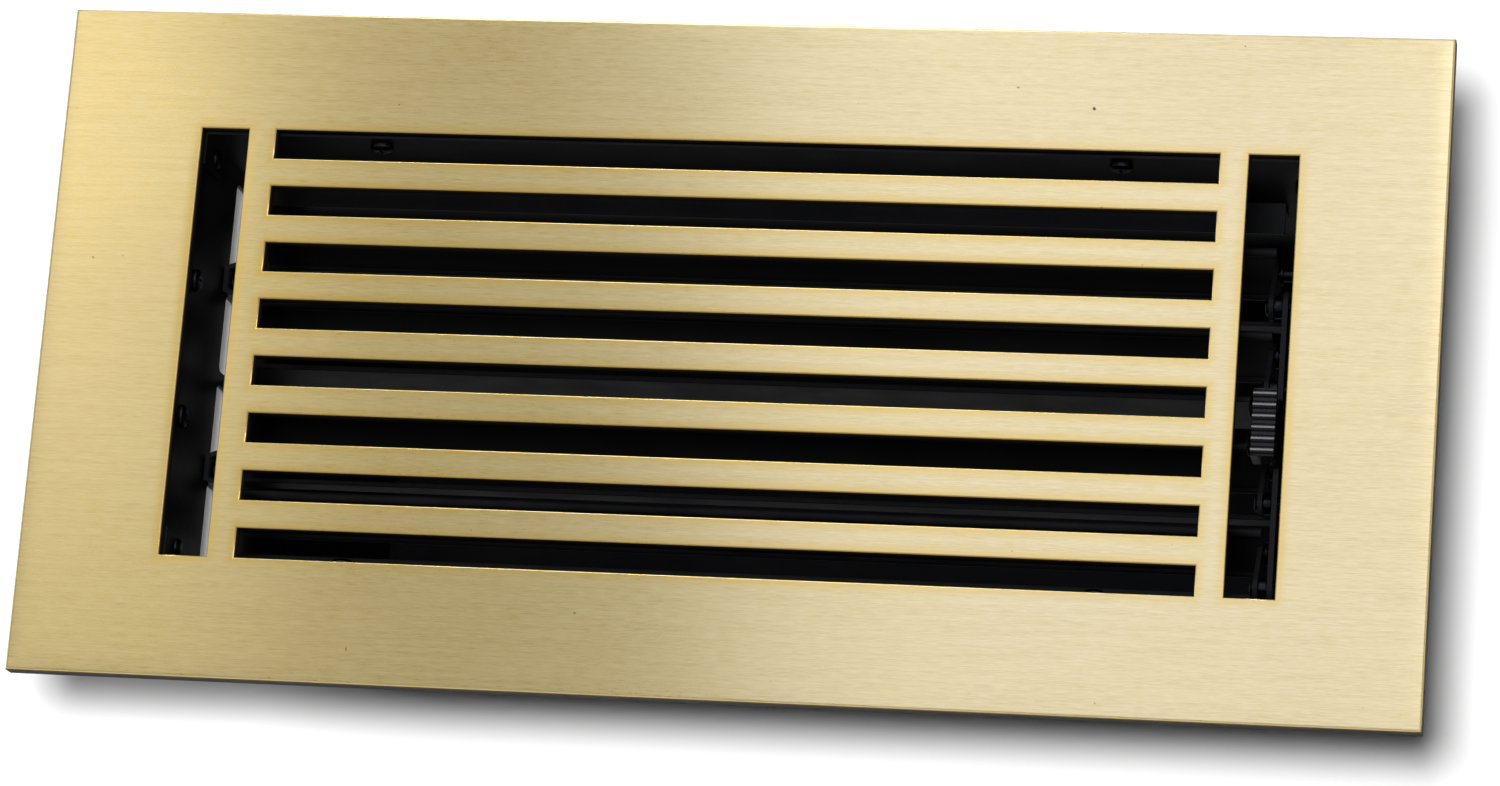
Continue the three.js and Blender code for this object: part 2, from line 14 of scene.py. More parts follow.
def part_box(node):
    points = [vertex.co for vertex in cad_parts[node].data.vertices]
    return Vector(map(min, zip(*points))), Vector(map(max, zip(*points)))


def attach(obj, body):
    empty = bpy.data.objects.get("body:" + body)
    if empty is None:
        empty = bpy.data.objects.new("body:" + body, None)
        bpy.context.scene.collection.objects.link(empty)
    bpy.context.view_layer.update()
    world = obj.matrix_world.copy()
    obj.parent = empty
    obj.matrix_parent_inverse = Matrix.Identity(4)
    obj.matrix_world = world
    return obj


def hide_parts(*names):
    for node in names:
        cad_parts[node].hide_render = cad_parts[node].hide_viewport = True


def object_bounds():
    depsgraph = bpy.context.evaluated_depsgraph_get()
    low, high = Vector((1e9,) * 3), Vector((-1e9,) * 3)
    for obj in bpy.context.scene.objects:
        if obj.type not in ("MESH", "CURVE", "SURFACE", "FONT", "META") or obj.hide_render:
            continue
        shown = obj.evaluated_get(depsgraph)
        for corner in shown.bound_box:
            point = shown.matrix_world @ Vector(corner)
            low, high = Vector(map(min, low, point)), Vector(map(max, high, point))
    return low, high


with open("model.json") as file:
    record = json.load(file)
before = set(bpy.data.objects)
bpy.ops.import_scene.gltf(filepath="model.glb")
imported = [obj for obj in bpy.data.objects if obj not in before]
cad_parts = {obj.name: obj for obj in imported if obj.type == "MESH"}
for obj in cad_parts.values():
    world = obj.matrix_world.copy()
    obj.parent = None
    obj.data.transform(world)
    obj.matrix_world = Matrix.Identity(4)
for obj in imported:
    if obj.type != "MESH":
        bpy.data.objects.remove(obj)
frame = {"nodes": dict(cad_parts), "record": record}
cad_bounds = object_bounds()
plate_low, plate_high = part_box("faceplate")

MM = 0.001
TINY = 0.001 * MM

# ---------------------------------------------------------------- materials


class Material:
    """A node material under construction, ending in one Principled shader."""

    def __init__(self, name):
        self.material = bpy.data.materials.new(name)
        self.material.use_nodes = True
        self.tree = self.material.node_tree
        self.tree.nodes.clear()
        output = self.add("ShaderNodeOutputMaterial")
        self.shader = self.add("ShaderNodeBsdfPrincipled")
        self.tree.links.new(self.shader.outputs["BSDF"], output.inputs["Surface"])
        self.coordinates = self.add("ShaderNodeTexCoord").outputs["Object"]

    def add(self, kind, **settings):
        """Adds a node of a kind, with its properties set."""
        node = self.tree.nodes.new(kind)
        for key, value in settings.items():
            setattr(node, key, value)
        return node

    def link(self, source, target):
        """Joins an output socket to an input socket."""
        self.tree.links.new(source, target)

    def stretched(self, scale):
        """Object coordinates, scaled per axis."""
        mapping = self.add("ShaderNodeMapping")
        self.link(self.coordinates, mapping.inputs["Vector"])
        mapping.inputs["Scale"].default_value = scale
        return mapping.outputs["Vector"]

    def along(self, axis):
        """The object's own coordinate along an axis."""
        split = self.add("ShaderNodeSeparateXYZ")
        self.link(self.coordinates, split.inputs["Vector"])
        return split.outputs[axis]

    def beyond(self, axis, distance):
        """1 where a point is further than the distance from the object's middle along an axis."""
        return self.math("GREATER_THAN", self.math("ABSOLUTE", self.along(axis), 0), distance)

    def noise(self, scale, detail=2.0, roughness=0.5, stretch=(1, 1, 1)):
        """Soft noise in the object's coordinates, from 0 to 1."""
        node = self.add("ShaderNodeTexNoise")
        self.link(self.stretched(stretch), node.inputs["Vector"])
        node.inputs["Scale"].default_value = scale
        node.inputs["Detail"].default_value = detail
        node.inputs["Roughness"].default_value = roughness
        return node.outputs["Fac"]

    def remap(self, value, low, high, new_low, new_high, smooth=False):
        """Carries a value from one range to another and holds it within the new one."""
        node = self.add("ShaderNodeMapRange")
        if smooth:
            node.interpolation_type = "SMOOTHSTEP"
        self.link(value, node.inputs["Value"])
        node.inputs["From Min"].default_value = low
        node.inputs["From Max"].default_value = high
        node.inputs["To Min"].default_value = new_low
        node.inputs["To Max"].default_value = new_high
        return node.outputs["Result"]

    def math(self, operation, a, b):
        """A math node on two values, each a socket or a number."""
        node = self.add("ShaderNodeMath", operation=operation)
        for socket, value in zip(node.inputs, (a, b)):
            if isinstance(value, (int, float)):
                socket.default_value = value
            else:
                self.link(value, socket)
        return node.outputs["Value"]

    def mix(self, factor, a, b):
        """A blend of two colours, each a socket or an RGB triple."""
        node = self.add("ShaderNodeMix", data_type="RGBA")
        self.link(factor, node.inputs["Factor"])
        for key, value in (("A", a), ("B", b)):
            socket = [s for s in node.inputs if s.name == key and s.type == "RGBA"][0]
            if isinstance(value, tuple):
                socket.default_value = (*value, 1)
            else:
                self.link(value, socket)
        return [s for s in node.outputs if s.type == "RGBA"][0]

    def bump(self, height, distance, strength=1.0, under=None):
        """A normal bumped by a height, over another bump if there is one under it."""
        node = self.add("ShaderNodeBump")
        self.link(height, node.inputs["Height"])
        node.inputs["Distance"].default_value = distance
        node.inputs["Strength"].default_value = strength
        if under is not None:
            self.link(under, node.inputs["Normal"])
        return node.outputs["Normal"]

    def set(self, **values):
        """Sets or links the shader's inputs, named with underscores for spaces."""
        for key, value in values.items():
            socket = self.shader.inputs[key.replace("_", " ")]
            if isinstance(value, bpy.types.NodeSocket):
                self.link(value, socket)
            elif isinstance(value, tuple):
                socket.default_value = (*value, 1)
            else:
                socket.default_value = value


def solid_brass():
    """Satin brass, brushed along X: warm at the slots' edges; below the face a dull brown patina that is also
    painted shade, fading to black painted shade lower down.
    """
    m = Material("solid_brass")
    fine = m.noise(1, detail=3, roughness=0.65, stretch=(260, 5200, 5200))
    streaks = m.noise(1, detail=2, roughness=0.5, stretch=(45, 1500, 1500))
    clouds = m.noise(20, detail=4, roughness=0.55)
    bands = m.noise(1, detail=2, roughness=0.5, stretch=(9, 34, 34))
    specks = m.noise(420, detail=1, roughness=0.4)
    edge = m.add("ShaderNodeAttribute", attribute_name="slot_edge").outputs["Fac"]
    near_slot = m.math("MULTIPLY", m.remap(edge, 0, 1, 0, 0.8, smooth=True), m.remap(bands, 0.3, 0.7, 0.5, 1))
    yellow, straw, tan = (0.86, 0.69, 0.335), (0.85, 0.70, 0.375), (0.83, 0.655, 0.29)
    dull, bright, warm = (0.74, 0.575, 0.25), (0.96, 0.82, 0.50), (0.82, 0.57, 0.14)
    pit, patina_and_shade_brown, black = (0.10, 0.08, 0.05), (0.06, 0.032, 0.008), (0.004, 0.003, 0.0015)
    tone = m.mix(m.remap(clouds, 0.35, 0.65, 0, 1), yellow, straw)
    tone = m.mix(m.remap(bands, 0.35, 0.65, 0, 0.5), tone, tan)
    tone = m.mix(m.remap(streaks, 0.35, 0.65, 0, 0.6), tone, dull)
    tone = m.mix(m.remap(fine, 0.4, 0.62, 0, 0.6), tone, bright)
    tone = m.mix(near_slot, tone, warm)
    tone = m.mix(m.remap(specks, 0.80, 0.84, 0, 1), tone, pit)
    height = m.along("Z")
    face = plate_high.z
    # Painted shade: below the face the sides, slot walls and underside turn brown, a dull patina that also
    # stands in for shade, then fade to black further down, which is painted shade only.
    side = m.remap(height, face - 0.5 * MM, face - 0.1 * MM, 1, 0, smooth=True)
    painted_shade_below = m.remap(height, face - 1.9 * MM, face - 0.4 * MM, 0.97, 0, smooth=True)
    tone = m.mix(side, tone, patina_and_shade_brown)
    tone = m.mix(painted_shade_below, tone, black)
    polish = m.math("ADD", m.remap(fine, 0.2, 0.8, 0.25, 0.34), m.remap(clouds, 0.3, 0.7, -0.01, 0.02))
    roughness = m.math("ADD", polish, m.math("MULTIPLY", side, 0.2))
    grain = m.bump(fine, 0.006 * MM, 0.6)
    grain = m.bump(streaks, 0.012 * MM, 0.35, under=grain)
    tangent = m.add("ShaderNodeTangent", direction_type="UV_MAP", uv_map="grain")
    m.set(Base_Color=tone, Metallic=m.math("SUBTRACT", 1, side), Roughness=roughness)
    m.set(Normal=grain, Anisotropic=0.85, Specular_IOR_Level=0.1)
    m.link(tangent.outputs["Tangent"], m.shader.inputs["Tangent"])
    return m.material


def black_steel():
    """Black paint on sheet steel: slight orange peel and dust on the faces that look up, with painted shade
    that makes it near-black and duller inside the box than outside.
    """
    m = Material("black_steel")
    peel = m.noise(900, detail=2)
    patches = m.noise(55, detail=4, roughness=0.6)
    dust = m.noise(2600, detail=2, roughness=0.7)
    up = m.add("ShaderNodeSeparateXYZ")
    m.link(m.add("ShaderNodeNewGeometry").outputs["Normal"], up.inputs["Vector"])
    facing_up = m.remap(up.outputs["Z"], 0.2, 1.0, 0.25, 1.0)
    settled = m.math("MULTIPLY", m.remap(dust, 0.55, 0.75, 0, 0.5), facing_up)
    skin = 0.4 * MM  # Steel this near the box's outer faces counts as outside.
    outside_ends = m.beyond("X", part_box("right_end_wall")[1].x - skin)
    outside_walls = m.beyond("Y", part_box("rear_wall")[1].y - skin)
    outside = m.math("MAXIMUM", outside_ends, outside_walls)
    outside_without_painted_shade = m.math("MULTIPLY", outside, m.remap(patches, 0.3, 0.7, 0.6, 1))
    # Painted shade: inside the box the paint is made near-black and less glossy, standing in for the shade in
    # there; the outer faces keep a lighter charcoal.
    painted_shade_deep, painted_shade_patches = (0.0026, 0.0027, 0.0031), (0.0052, 0.0053, 0.0058)
    dusty, charcoal = (0.06, 0.058, 0.053), (0.014, 0.014, 0.015)
    tone = m.mix(m.remap(patches, 0.35, 0.7, 0, 1), painted_shade_deep, painted_shade_patches)
    tone = m.mix(m.math("MULTIPLY", settled, 0.12), tone, dusty)
    tone = m.mix(outside_without_painted_shade, tone, charcoal)
    roughness = m.math("ADD", m.remap(patches, 0.3, 0.7, 0.36, 0.50), m.math("MULTIPLY", settled, 0.3))
    gloss = m.math("ADD", m.math("MULTIPLY", outside, 0.38), 0.12)
    m.set(Base_Color=tone, Roughness=roughness, Specular_IOR_Level=gloss, Normal=m.bump(peel, 0.02 * MM, 0.5))
    return m.material


def rolled_steel(name, colour, dark, stretch):
    """Plated or bare steel, with scratches drawn out by the stretch and duller blotches."""
    m = Material(name)
    scratches = m.noise(1, detail=3, roughness=0.65, stretch=stretch)
    blotches = m.noise(700, detail=3, roughness=0.6)
    bright = tuple(2.5 * part for part in colour)
    tone = m.mix(m.remap(blotches, 0.35, 0.7, 0, 1), colour, dark)
    tone = m.mix(m.remap(scratches, 0.6, 0.8, 0, 0.3), tone, bright)
    rough = m.remap(blotches, 0.3, 0.7, 0.26, 0.42)
    m.set(Base_Color=tone, Metallic=1.0, Roughness=rough, Normal=m.bump(scratches, 0.008 * MM, 0.5))
    return m.material


def black_zinc():
    """Black zinc plating on pins, rivets and screws."""
    return rolled_steel("black_zinc", (0.030, 0.031, 0.035), (0.016, 0.016, 0.018), (900, 900, 5000))


def spring_steel():
    """Bare dark spring strip, with its rolling marks along its length."""
    return rolled_steel("spring_steel", (0.16, 0.165, 0.18), (0.09, 0.092, 0.10), (400, 400, 6000))


def bush_plastic():
    """Black moulded plastic with a fine spark-eroded texture and slightly polished patches."""
    m = Material("bush_plastic")
    texture = m.noise(3200, detail=3, roughness=0.6)
    handling = m.noise(160, detail=2)
    tone = m.mix(m.remap(handling, 0.3, 0.7, 0, 1), (0.005, 0.005, 0.0055), (0.009, 0.009, 0.010))
    rough = m.remap(handling, 0.3, 0.7, 0.42, 0.60)
    m.set(Base_Color=tone, Roughness=rough, Specular_IOR_Level=0.3, Normal=m.bump(texture, 0.01 * MM, 0.6))
    return m.material


def thumb_plastic():
    """Glossy moulded plastic, with a painted highlight: pale along the crests of the thumb tab's ribs."""
    m = Material("black_plastic")
    texture = m.noise(2400, detail=3, roughness=0.6)
    handling = m.noise(160, detail=2)
    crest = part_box("thumb_tab")[1].z
    # Painted highlight: a thin band at the very top of each rib is made pale and rougher.
    highlight_depth = 0.05 * MM
    painted_highlight = m.remap(m.along("Z"), crest - highlight_depth, crest, 0, 1, smooth=True)
    painted_highlight = m.math("MULTIPLY", painted_highlight, m.remap(handling, 0.3, 0.7, 0.6, 1))
    tone = m.mix(m.remap(texture, 0.3, 0.7, 0, 1), (0.003, 0.003, 0.0034), (0.006, 0.006, 0.007))
    tone = m.mix(painted_highlight, tone, (0.13, 0.13, 0.135))
    rough = m.math("ADD", m.remap(handling, 0.3, 0.7, 0.14, 0.22), m.math("MULTIPLY", painted_highlight, 0.2))
    m.set(Base_Color=tone, Roughness=rough, Specular_IOR_Level=0.2, Normal=m.bump(texture, 0.004 * MM, 0.6))
    return m.material


def studio_paper():
    """Pale seamless paper with a very slight tooth."""
    m = Material("studio_paper")
    tooth = m.noise(900, detail=2)
    tone = m.mix(m.noise(3, detail=2), (0.60, 0.60, 0.60), (0.63, 0.63, 0.63))
    m.set(Base_Color=tone, Roughness=0.9, Specular_IOR_Level=0.1, Normal=m.bump(tooth, 0.03 * MM, 0.3))
    return m.material


MATERIALS = {
    "solid_brass": solid_brass(),
    "black_steel": black_steel(),
    "black_zinc": black_zinc(),
    "spring_steel": spring_steel(),
    "black_plastic": thumb_plastic(),
    "bush_plastic": bush_plastic(),
}
SLOT_OF = {entry["node"]: entry["material_slot"] for entry in frame["record"]["subparts"]}
BODY_OF = {
    node: body
    for body, nodes in frame["record"]["behaviour"]["bodies"].items()
    for node in nodes
}

# ---------------------------------------------------------------- mesh helpers

SHARP_ANGLE = math.radians(35)
# The corners of a square, in their order round it.
SQUARE = [(-1, -1), (1, -1), (1, 1), (-1, 1)]


def mesh_object(name, bm):
    """Turns a bmesh into a smooth-shaded object."""
    mesh = bpy.data.meshes.new(name)
    bm.normal_update()
    bm.to_mesh(mesh)
    bm.free()
    obj = bpy.data.objects.new(name, mesh)
    bpy.context.scene.collection.objects.link(obj)
    shade(obj)
    return obj


def shade(obj):
    """Smooth shading, with the sharper edges kept sharp."""
    mesh = obj.data
    mesh.polygons.foreach_set("use_smooth", [True] * len(mesh.polygons))
    mesh.set_sharp_from_angle(angle=SHARP_ANGLE)


def even_faces(obj):
    """Weighted normals, which keep the large flat faces even next to their broken edges."""
    modifier = obj.modifiers.new("even_faces", "WEIGHTED_NORMAL")
    modifier.keep_sharp = True
    return obj


def stand_for(obj, node):
    """Gives a piece the material, slot and body of the CAD node that it replaces."""
    obj.data.materials.clear()
    obj.data.materials.append(MATERIALS[SLOT_OF[node]])
    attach(obj, BODY_OF[node])
    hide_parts(node)
    return obj


def sharp_edges(bm, angle):
    """The edges whose two faces turn by more than the angle."""
    return [e for e in bm.edges if len(e.link_faces) == 2 and e.calc_face_angle(0) > angle]


def bevel(bm, edges, width, segments):
    """Rounds the edges off over a width."""
    bmesh.ops.bevel(
        bm,
        geom=edges,
        offset=width,
        offset_type="OFFSET",
        segments=segments,
        profile=0.5,
        affect="EDGES",
        clamp_overlap=True,
    )


def node_shape(node):
    """The CAD node's own shape, with its flat faces made whole."""
    bm = bmesh.new()
    bm.from_mesh(frame["nodes"][node].data)
    bmesh.ops.remove_doubles(bm, verts=bm.verts, dist=TINY)
    bmesh.ops.dissolve_limit(bm, angle_limit=math.radians(0.5), verts=bm.verts, edges=bm.edges)
    return bm


def softened(node, width, segments=2):
    """Replaces a CAD node by its own shape with the sharp edges broken."""
    bm = node_shape(node)
    bevel(bm, sharp_edges(bm, math.radians(40)), width, segments)
    stand_for(even_faces(mesh_object(node + "_finished", bm)), node)


def boolean(obj, tool, operation):
    """Cuts an object by another or joins the two, and removes the other."""
    modifier = obj.modifiers.new(operation.lower(), "BOOLEAN")
    modifier.operation = operation
    modifier.solver = "EXACT"
    modifier.use_self = True
    modifier.object = tool
    depsgraph = bpy.context.evaluated_depsgraph_get()
    result = bpy.data.meshes.new_from_object(obj.evaluated_get(depsgraph))
    obj.modifiers.clear()
    obj.data = result
    bpy.data.objects.remove(tool)
    shade(obj)


def start_of(node, axis, flip):
    """The point where a node's own axis leaves its box at one end, and the sign of the way in from there."""
    low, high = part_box(node)
    start = (low + high) / 2
    start[axis] = high[axis] if flip else low[axis]
    return start, -1 if flip else 1


def turned(node, profile, axis=0, flip=False, sides=48):
    """A turned piece on the node's own axis, from [along, radius] in metres, starting at one end."""
    start, inwards = start_of(node, axis, flip)
    across = Vector([1.0 if i == (axis + 1) % 3 else 0.0 for i in range(3)])
    up = Vector([1.0 if i == (axis + 2) % 3 else 0.0 for i in range(3)])
    bm = bmesh.new()
    rings = []
    for along, radius in profile:
        origin = start.copy()
        origin[axis] += inwards * along
        if radius < TINY:
            rings.append([bm.verts.new(origin)])
            continue
        angles = [2 * math.pi * i / sides for i in range(sides)]
        spokes = [math.cos(a) * across + math.sin(a) * up for a in angles]
        rings.append([bm.verts.new(origin + radius * spoke) for spoke in spokes])
    for first, second in zip(rings, rings[1:]):
        join_rings(bm, first, second)
    bmesh.ops.recalc_face_normals(bm, faces=bm.faces)
    return bm


def join_rings(bm, first, second):
    """Joins two rings of a turned piece, either of which may be a single point on the axis."""
    count = max(len(first), len(second))
    for i in range(count):
        j = (i + 1) % count
        near = [first[i % len(first)], first[j % len(first)]]
        far = [second[j % len(second)], second[i % len(second)]]
        unique = list(dict.fromkeys(near + far))
        if len(unique) > 2:
            bm.faces.new(unique)


# ---------------------------------------------------------------- faceplate

RIM_WIDTH = 12 * MM
RECESS = 1.5 * MM
CORNER = 1.6 * MM
EDGE_ROUND = 0.6 * MM
FOOT_BREAK = 0.3 * MM
SLOT_BREAK = 0.28 * MM

# The face falls away by the drop over the width next to its outer edge, with grid lines at these parts of it.
ROLL_WIDTH = 5 * MM
ROLL_DROP = 0.1 * MM
ROLL_LINES = (0.4, 0.55, 0.7, 0.85, 1)

# The record's openings are this much smaller than the slots on every side.
OPENING_CLEARANCE = 0.2 * MM
# The width of the warmer brass round each slot.
HALO = 2.7 * MM
# Grid lines nearer than this are one line.
SAME_LINE = 0.01 * MM
# How far the lugs are cut below the recess, and how far they reach into the plate above it.
LUG_JOINT = 0.05 * MM
# Faces with a steeper normal than this take the grain of the plate's face.
FACING_UP = 0.7
# UV units in a metre of the grain map.
GRAIN_REPEATS = 3


def plate_slots():
    """The plate's slots as (x0, x1, y0, y1), from the record's openings."""
    slots = []
    for opening in frame["record"]["physics"]["openings"]:
        if "slot" in opening["name"]:
            (x0, y0, _), (x1, y1, _) = opening["box_m"]
            gap = OPENING_CLEARANCE
            slots.append((x0 - gap, x1 + gap, y0 - gap, y1 + gap))
    return slots


SLOTS = plate_slots()


def grid_lines(low, high, slot_sides):
    """Sorted lines across the plate for its rim, its rolled edge, and its slots with their halos."""
    lines = [low, high]
    for inset in [RIM_WIDTH] + [part * ROLL_WIDTH for part in ROLL_LINES]:
        lines += [low + inset, high - inset]
    for start, end in slot_sides:
        lines += [start - HALO, start, end, end + HALO]
    kept = []
    for line in sorted(lines):
        if not kept or line - kept[-1] > SAME_LINE:
            kept.append(line)
    return kept


def cell_undersides(xs, ys):
    """The height of the plate's underside in each grid cell outside the slots."""
    undersides = {}
    for i, (x0, x1) in enumerate(zip(xs, xs[1:])):
        for j, (y0, y1) in enumerate(zip(ys, ys[1:])):
            x, y = (x0 + x1) / 2, (y0 + y1) / 2
            if any(left < x < right and front < y < rear for left, right, front, rear in SLOTS):
                continue
            on_rim = abs(x) > plate_high.x - RIM_WIDTH or abs(y) > plate_high.y - RIM_WIDTH
            undersides[i, j] = 0.0 if on_rim else RECESS
    return undersides


def plate_mesh():
    """The plate as one closed mesh on a grid whose lines follow its rim and slots."""
    xs = grid_lines(plate_low.x, plate_high.x, [slot[:2] for slot in SLOTS])
    ys = grid_lines(plate_low.y, plate_high.y, [slot[2:] for slot in SLOTS])
    undersides = cell_undersides(xs, ys)
    top = plate_high.z
    bm = bmesh.new()
    made = {}

    def face(*points):
        for point in points:
            if point not in made:
                made[point] = bm.verts.new(point)
        bm.faces.new([made[point] for point in points])

    for (i, j), base in undersides.items():
        x0, x1, y0, y1 = xs[i], xs[i + 1], ys[j], ys[j + 1]
        face((x0, y0, top), (x1, y0, top), (x1, y1, top), (x0, y1, top))
        face((x0, y1, base), (x1, y1, base), (x1, y0, base), (x0, y0, base))
        sides = [(i - 1, j, x0, y1, x0, y0), (i + 1, j, x1, y0, x1, y1)]
        sides += [(i, j - 1, x0, y0, x1, y0), (i, j + 1, x1, y1, x0, y1)]
        for next_i, next_j, ax, ay, bx, by in sides:
            upper = undersides.get((next_i, next_j), top)
            if upper > base:
                face((ax, ay, base), (bx, by, base), (bx, by, upper), (ax, ay, upper))
    return bm


def on_outline(vertex):
    """Whether a vertex of the plate lies on its outer edge or its rounded corners."""
    x, y, _ = vertex.co
    return abs(x) > plate_high.x - CORNER - TINY or abs(y) > plate_high.y - CORNER - TINY


def at_corner(vertex):
    """Whether a vertex lies on one of the plate's four upright corner edges."""
    x, y, _ = vertex.co
    return abs(x) > plate_high.x - TINY and abs(y) > plate_high.y - TINY


def on_face(vertex):
    """Whether a vertex lies on the plate's face."""
    return vertex.co.z > plate_high.z - TINY


def at_rim_foot(vertex):
    """Whether a vertex lies under the plate's rim."""
    return vertex.co.z < TINY


def plate_edges(bm, test):
    """The plate's corners between faces whose two ends both pass the test."""
    return [e for e in sharp_edges(bm, math.radians(30)) if all(test(v) for v in e.verts)]


def roll_face(bm):
    """Lets the face fall away very slightly towards its outer edge, as polishing leaves it."""
    for vertex in bm.verts:
        x, y, z = vertex.co
        from_edge = min(plate_high.x - abs(x), plate_high.y - abs(y))
        if z > RECESS + TINY and from_edge < ROLL_WIDTH:
            vertex.co.z -= ROLL_DROP * (1 - from_edge / ROLL_WIDTH) ** 2


def plate_lugs():
    """The plate's fixing lugs, cut from the CAD plate and reaching up into its web."""
    bm = node_shape("faceplate")
    bmesh.ops.bisect_plane(
        bm,
        geom=bm.verts[:] + bm.edges[:] + bm.faces[:],
        plane_co=(0, 0, RECESS - LUG_JOINT),
        plane_no=(0, 0, 1),
        clear_outer=True,
    )
    # The rim's foot is the only other part of the plate below the cut.
    rim_x, rim_y = plate_high.x - 1.2 * RIM_WIDTH, plate_high.y - 1.2 * RIM_WIDTH
    rim = [v for v in bm.verts if abs(v.co.x) > rim_x or abs(v.co.y) > rim_y]
    bmesh.ops.delete(bm, geom=rim, context="VERTS")
    bmesh.ops.holes_fill(bm, edges=bm.edges)
    for vert in bm.verts:
        if vert.co.z > RECESS - 2 * LUG_JOINT:
            vert.co.z = RECESS + LUG_JOINT
    return mesh_object("plate_lugs", bm)


def add_slot_edge(obj):
    """Stores how near each vertex is to a slot, for the warmer tone there."""
    attribute = obj.data.attributes.new("slot_edge", "FLOAT", "POINT")
    for vertex, item in zip(obj.data.vertices, attribute.data):
        x, y, _ = vertex.co
        away = [math.hypot(max(x0 - x, 0, x - x1), max(y0 - y, 0, y - y1)) for x0, x1, y0, y1 in SLOTS]
        item.value = max(0.0, 1 - min(away) / HALO)


def add_grain_map(obj):
    """A UV map whose U runs across the brushed grain, for the shader's tangent."""
    layer = obj.data.uv_layers.new(name="grain")
    for polygon in obj.data.polygons:
        normal = polygon.normal
        for loop in polygon.loop_indices:
            co = obj.data.vertices[obj.data.loops[loop].vertex_index].co
            if abs(normal.z) > FACING_UP:
                across, along = co.y, co.x
            elif abs(normal.y) > abs(normal.x):
                across, along = co.z, co.x
            else:
                across, along = co.z, co.y
            layer.data[loop].uv = (across * GRAIN_REPEATS, along * GRAIN_REPEATS)


def faceplate():
    """The whole faceplate: its mesh with rounded edges and a rolled face, joined to its lugs."""
    bm = plate_mesh()
    bevel(bm, plate_edges(bm, at_corner), CORNER, 6)
    bevel(bm, plate_edges(bm, lambda v: on_outline(v) and on_face(v)), EDGE_ROUND, 7)
    bevel(bm, plate_edges(bm, lambda v: on_outline(v) and at_rim_foot(v)), FOOT_BREAK, 2)
    bevel(bm, plate_edges(bm, lambda v: on_face(v) and not on_outline(v)), SLOT_BREAK, 3)
    roll_face(bm)
    obj = mesh_object("brass_plate", bm)
    boolean(obj, plate_lugs(), "UNION")
    add_slot_edge(obj)
    add_grain_map(obj)
    return even_faces(obj)


stand_for(faceplate(), "faceplate")

# ---------------------------------------------------------------- sheet-metal pieces

SHEET_PIECES = [
    "rear_wall",
    "front_wall",
    "left_end_wall",
    "right_end_wall",
    "centre_divider",
    "rear_stiffener",
    "front_stiffener",
    "rear_stop_angle",
    "front_stop_angle",
    "left_pivot_rail",
    "link_bar",
]
BLADES = [body for body in frame["record"]["behaviour"]["bodies"] if body.startswith("blade_")]
SHEET_BREAK = 0.18 * MM
SPRING_BREAK = 0.08 * MM
THUMB_BREAK = 0.15 * MM
BLADE_BREAK = 0.12 * MM

for piece in SHEET_PIECES:
    softened(piece, SHEET_BREAK)
softened("friction_spring", SPRING_BREAK)
softened("thumb_tab", THUMB_BREAK, segments=3)
for blade in BLADES:
    softened(blade, BLADE_BREAK)

# ---------------------------------------------------------------- fasteners, pins and bushes


def dome(base, height, inner, outer, steps=6):
    """A rounded head's profile, rising from its crown at the base to its full radius."""
    angles = [math.pi / 2 * i / steps for i in range(steps + 1)]
    return [(base + height * (1 - math.cos(a)), inner + (outer - inner) * math.sin(a)) for a in angles]


def rivet_profile(length):
    """A blind rivet: a domed flange with its mandrel's dimple, and a rolled tail."""
    head, shank, rise, dimple = 2.2 * MM, 1.2 * MM, 0.9 * MM, 0.65 * MM
    pit = [(0.45 * MM, 0), (0.45 * MM, dimple), (0.05 * MM, dimple + 0.08 * MM)]
    flange = dome(0, rise, 0.95 * MM, head)
    tail = dome(length, -rise, 0.6 * MM, head)
    return pit + flange + [(rise, shank), (length - rise, shank)] + tail[::-1] + [(length, 0)]


def screw_profile(length):
    """A pan-head thread-forming screw."""
    head, shank, head_height, pitch = 2.5 * MM, 1.25 * MM, 1.4 * MM, 0.7 * MM
    profile = [(0.02 * MM, 0)] + dome(0, 0.62 * head_height, 0.9 * MM, head)
    profile += [(head_height, head), (head_height, shank)]
    for turn in range(int((length - head_height - 0.5 * MM) / pitch)):
        along = head_height + turn * pitch
        root = 0.82 * shank
        profile += [(along + 0.25 * pitch, root), (along + 0.57 * pitch, root), (along + 0.86 * pitch, shank)]
    return profile + [(length - 0.35 * MM, 0.8 * shank), (length, 0.35 * shank), (length, 0)]


def length_of(node, axis=0):
    """A node's length along an axis."""
    low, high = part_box(node)
    return high[axis] - low[axis]


def cross_recess(node, axis, flip):
    """The cutter for a cross-head drive recess: two tapered blades across each other."""
    start, inwards = start_of(node, axis, flip)
    # Each is a depth below the head, half a length and half a width.
    mouth = (-0.2 * MM, 1.35 * MM, 0.34 * MM)
    root = (0.85 * MM, 0.55 * MM, 0.2 * MM)
    bm = bmesh.new()
    for turned_over in (False, True):
        corners = []
        for depth, half_length, half_width in (mouth, root):
            for u, v in SQUARE:
                along, aside = u * half_length, v * half_width
                across, up = (-aside, along) if turned_over else (along, aside)
                point = start.copy()
                point[axis] += inwards * depth
                point[(axis + 1) % 3] += across
                point[(axis + 2) % 3] += up
                corners.append(bm.verts.new(point))
        for i in range(4):
            j = (i + 1) % 4
            bm.faces.new([corners[i], corners[j], corners[4 + j], corners[4 + i]])
        bm.faces.new(corners[:4])
        bm.faces.new(corners[4:])
    bmesh.ops.recalc_face_normals(bm, faces=bm.faces)
    return mesh_object(node + "_cutter", bm)


def replace_turned(node, profile, axis=0, flip=False, sides=48):
    """Replaces a CAD node by a turned piece of the profile."""
    bm = turned(node, profile, axis, flip, sides)
    return stand_for(mesh_object(node + "_turned", bm), node)


def screw(node):
    """Replaces a screw, whose head is on the side nearer the box's middle."""
    low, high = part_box(node)
    axis = 1 if "_side_" in node else 0
    flip = low[axis] + high[axis] < 0
    obj = replace_turned(node, screw_profile(length_of(node, axis)), axis, flip, sides=40)
    boolean(obj, cross_recess(node, axis, flip), "DIFFERENCE")


